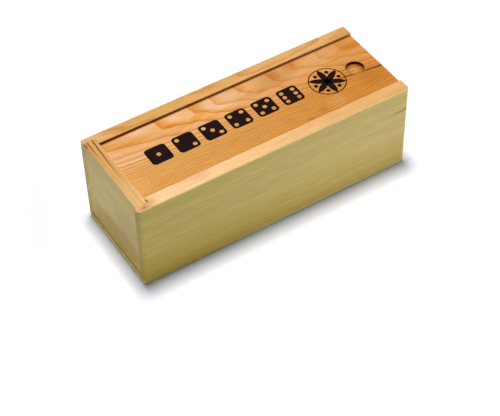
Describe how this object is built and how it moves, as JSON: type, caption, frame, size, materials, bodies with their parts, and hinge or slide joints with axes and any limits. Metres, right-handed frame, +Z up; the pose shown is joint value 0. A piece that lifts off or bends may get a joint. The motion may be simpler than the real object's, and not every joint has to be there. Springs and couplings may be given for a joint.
{
  "type": "domino storage box",
  "caption": "Pine box for domino tiles, with a flat lid that slides lengthwise in grooves in the side boards and out over the low end.",
  "frame": {"origin": "centre of the underside, on the surface that the box stands on", "axes": "+X along the length towards the low end, the way the lid slides out; +Y towards the back side board; +Z up"},
  "size_m": [0.175, 0.065, 0.058],
  "materials": {
    "side_pine": "clear satin lacquer over straight-grained pine",
    "end_pine": "clear satin lacquer over pine",
    "base_sheet": "thin birch-faced sheet, sanded, bare",
    "brad_steel": "plain drawn wire, dull",
    "lid_pine": "clear satin lacquer over orange-toned pine with a printed row of plain dice-like faces"
  },
  "bodies": {
    "box": {"front_side": "side_pine", "back_side": "side_pine", "closed_end": "end_pine", "open_end": "end_pine", "base_board": "base_sheet", "base_brads": "brad_steel"},
    "lid": {"lid": "lid_pine"}
  },
  "joints": [
    {"name": "lid_slide", "type": "slide", "parent": "box", "child": "lid", "axis": [1, 0, 0], "range_m": [0, 0.172]}
  ]
}
